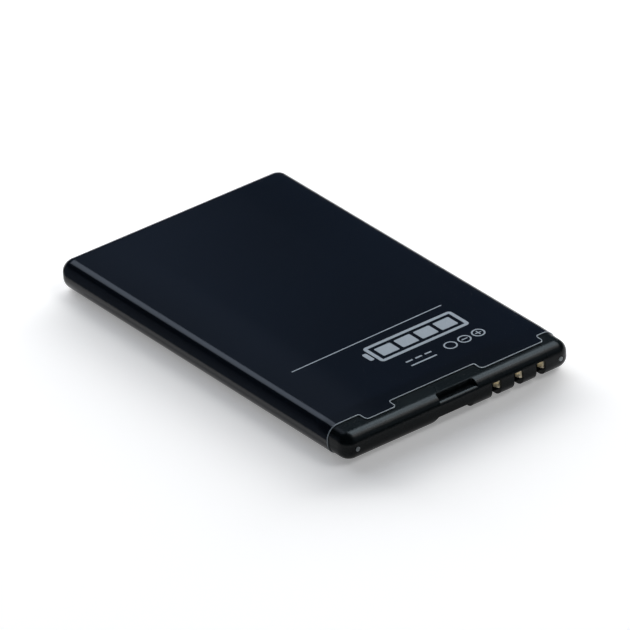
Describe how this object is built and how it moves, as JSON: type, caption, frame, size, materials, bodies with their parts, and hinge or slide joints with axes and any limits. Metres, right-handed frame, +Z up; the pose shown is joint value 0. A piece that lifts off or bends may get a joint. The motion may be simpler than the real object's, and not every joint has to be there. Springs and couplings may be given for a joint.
{
  "type": "mobile phone battery",
  "caption": "Slim slab-shaped rechargeable phone battery with a film label, a moulded head, a latch pocket and slotted gold contacts.",
  "frame": {"origin": "middle of the underside of the pack, on the surface it lies on", "axes": "+X across the width towards the contact slots, +Y along the length from the contact end to the far end, +Z up through the label side"},
  "size_m": [0.035, 0.0591, 0.004],
  "materials": {
    "label_film": "dark navy printed film, satin sheen",
    "moulded_black": "fine-grained moulded black plastic",
    "gold_plate": "gold-plated copper alloy strip",
    "laminate": "green solder resist on glass laminate",
    "moulded_epoxy": "black moulded epoxy",
    "chip_ceramic": "fired ceramic chip",
    "nickel_strip": "rolled nickel strip",
    "fuse_case": "cream moulded case",
    "can_aluminium": "drawn aluminium",
    "gasket_plastic": "black sealing ring",
    "nickel_plated_steel": "nickel-plated rivet",
    "insulating_paper": "pale insulating sheet",
    "foam": "dark closed-cell foam",
    "adhesive_tape": "white double-sided tape"
  },
  "bodies": {
    "root": {"label_wrap": "label_film", "head_housing": "moulded_black", "contact_data": "gold_plate", "contact_negative": "gold_plate", "contact_positive": "gold_plate", "protection_board": "laminate", "mosfet_pair": "moulded_epoxy", "protection_ic": "moulded_epoxy", "sense_resistor": "chip_ceramic", "supply_resistor": "chip_ceramic", "id_resistor": "chip_ceramic", "supply_capacitor": "chip_ceramic", "filter_capacitor": "chip_ceramic", "positive_tab": "nickel_strip", "negative_tab": "nickel_strip", "fuse_lead": "nickel_strip", "thermal_fuse": "fuse_case", "sealed_cell": "can_aluminium", "terminal_gasket": "gasket_plastic", "terminal_rivet": "nickel_plated_steel", "fill_plug": "can_aluminium", "lid_insulator": "insulating_paper", "foam_pad": "foam", "rear_cap": "moulded_black", "rear_tape": "adhesive_tape"}
  },
  "joints": []
}
